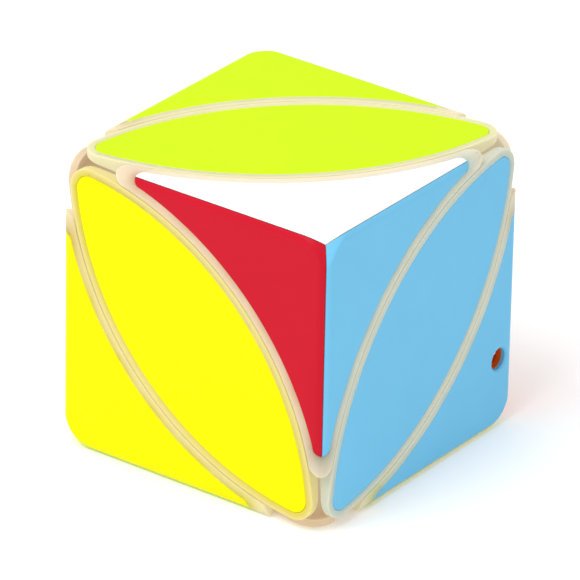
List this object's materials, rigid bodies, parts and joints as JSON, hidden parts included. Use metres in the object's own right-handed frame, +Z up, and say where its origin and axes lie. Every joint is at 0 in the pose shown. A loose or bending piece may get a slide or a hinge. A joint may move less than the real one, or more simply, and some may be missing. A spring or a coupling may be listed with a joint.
{
  "type": "leaf-cut cube puzzle",
  "caption": "Cube-shaped twisty puzzle with turning alternate corners and leaf-shaped face pieces in milky rims, on a sprung ball core, with an L-shaped cord hole.",
  "frame": {"origin": "centre of the bottom face of the cube, on the surface it stands on", "axes": "+Z up; front face (yellow leaf) is -Y, right face (blue leaf) is +X; the turning corners are at +X-Y+Z, -X+Y+Z, -X-Y-Z and +X+Y-Z"},
  "size_m": [0.055, 0.055, 0.055],
  "materials": {
    "milky_plastic": "satin, milky, lets some light through",
    "core_plastic": "satin",
    "steel": "plain",
    "tile_white": "semi-gloss",
    "tile_yellow": "semi-gloss",
    "tile_red": "semi-gloss",
    "tile_orange": "semi-gloss",
    "tile_blue": "semi-gloss",
    "tile_green": "semi-gloss"
  },
  "bodies": {
    "core": {"core": "core_plastic", "screw_a": "steel", "screw_b": "steel", "screw_c": "steel", "screw_d": "steel", "washer_a": "steel", "washer_b": "steel", "washer_c": "steel", "washer_d": "steel", "spring_a": "steel", "spring_b": "steel", "spring_c": "steel", "spring_d": "steel"},
    "corner_a": {"corner_a_base": "milky_plastic", "corner_a_tile_front": "tile_red", "corner_a_tile_right": "tile_blue", "corner_a_tile_top": "tile_white"},
    "corner_b": {"corner_b_base": "milky_plastic", "corner_b_tile_back": "tile_white", "corner_b_tile_left": "tile_orange", "corner_b_tile_top": "tile_green"},
    "corner_c": {"corner_c_base": "milky_plastic", "corner_c_tile_front": "tile_yellow", "corner_c_tile_left": "tile_red", "corner_c_tile_bottom": "tile_green"},
    "corner_d": {"corner_d_base": "milky_plastic", "corner_d_tile_back": "tile_orange", "corner_d_tile_right": "tile_blue", "corner_d_tile_bottom": "tile_yellow"},
    "leaf_front": {"leaf_front_base": "milky_plastic", "leaf_front_tile": "tile_yellow", "leaf_front_foot": "core_plastic"},
    "leaf_right": {"leaf_right_base": "milky_plastic", "leaf_right_tile": "tile_blue", "leaf_right_foot": "core_plastic"},
    "leaf_top": {"leaf_top_base": "milky_plastic", "leaf_top_tile": "tile_green", "leaf_top_foot": "core_plastic"},
    "leaf_back": {"leaf_back_base": "milky_plastic", "leaf_back_tile": "tile_white", "leaf_back_foot": "core_plastic"},
    "leaf_left": {"leaf_left_base": "milky_plastic", "leaf_left_tile": "tile_red", "leaf_left_foot": "core_plastic"},
    "leaf_bottom": {"leaf_bottom_base": "milky_plastic", "leaf_bottom_tile": "tile_orange", "leaf_bottom_foot": "core_plastic"}
  },
  "joints": [
    {"name": "twist_a", "type": "hinge", "parent": "core", "child": "corner_a", "pos_m": [0, 0, 0.0275], "axis": [0.5774, -0.5774, 0.5774], "continuous": true},
    {"name": "twist_b", "type": "hinge", "parent": "core", "child": "corner_b", "pos_m": [0, 0, 0.0275], "axis": [-0.5774, 0.5774, 0.5774], "range_deg": [-360, 360]},
    {"name": "twist_c", "type": "hinge", "parent": "core", "child": "corner_c", "pos_m": [0, 0, 0.0275], "axis": [-0.5774, -0.5774, -0.5774], "range_deg": [-360, 360]},
    {"name": "twist_d", "type": "hinge", "parent": "core", "child": "corner_d", "pos_m": [0, 0, 0.0275], "axis": [0.5774, 0.5774, -0.5774], "range_deg": [-360, 360]},
    {"name": "leaf_front_about_c", "type": "hinge", "parent": "corner_a", "child": "leaf_front", "pos_m": [0, 0, 0.0275], "axis": [-0.5774, -0.5774, -0.5774], "range_deg": [-360, 360]},
    {"name": "leaf_right_about_d", "type": "hinge", "parent": "corner_a", "child": "leaf_right", "pos_m": [0, 0, 0.0275], "axis": [0.5774, 0.5774, -0.5774], "range_deg": [-360, 360]},
    {"name": "leaf_top_about_b", "type": "hinge", "parent": "corner_a", "child": "leaf_top", "pos_m": [0, 0, 0.0275], "axis": [-0.5774, 0.5774, 0.5774], "range_deg": [-360, 360]},
    {"name": "leaf_back_about_d", "type": "hinge", "parent": "corner_b", "child": "leaf_back", "pos_m": [0, 0, 0.0275], "axis": [0.5774, 0.5774, -0.5774], "range_deg": [-360, 360]},
    {"name": "leaf_left_about_c", "type": "hinge", "parent": "corner_b", "child": "leaf_left", "pos_m": [0, 0, 0.0275], "axis": [-0.5774, -0.5774, -0.5774], "range_deg": [-360, 360]},
    {"name": "leaf_bottom_about_d", "type": "hinge", "parent": "corner_c", "child": "leaf_bottom", "pos_m": [0, 0, 0.0275], "axis": [0.5774, 0.5774, -0.5774], "range_deg": [-360, 360]}
  ],
  "couplings": [
    {"joint": "leaf_front_about_c", "follows": "twist_c", "ratio": 1},
    {"joint": "leaf_right_about_d", "follows": "twist_d", "ratio": 1},
    {"joint": "leaf_top_about_b", "follows": "twist_b", "ratio": 1},
    {"joint": "leaf_back_about_d", "follows": "twist_d", "ratio": 1},
    {"joint": "leaf_left_about_c", "follows": "twist_c", "ratio": 1},
    {"joint": "leaf_bottom_about_d", "follows": "twist_d", "ratio": 1}
  ]
}
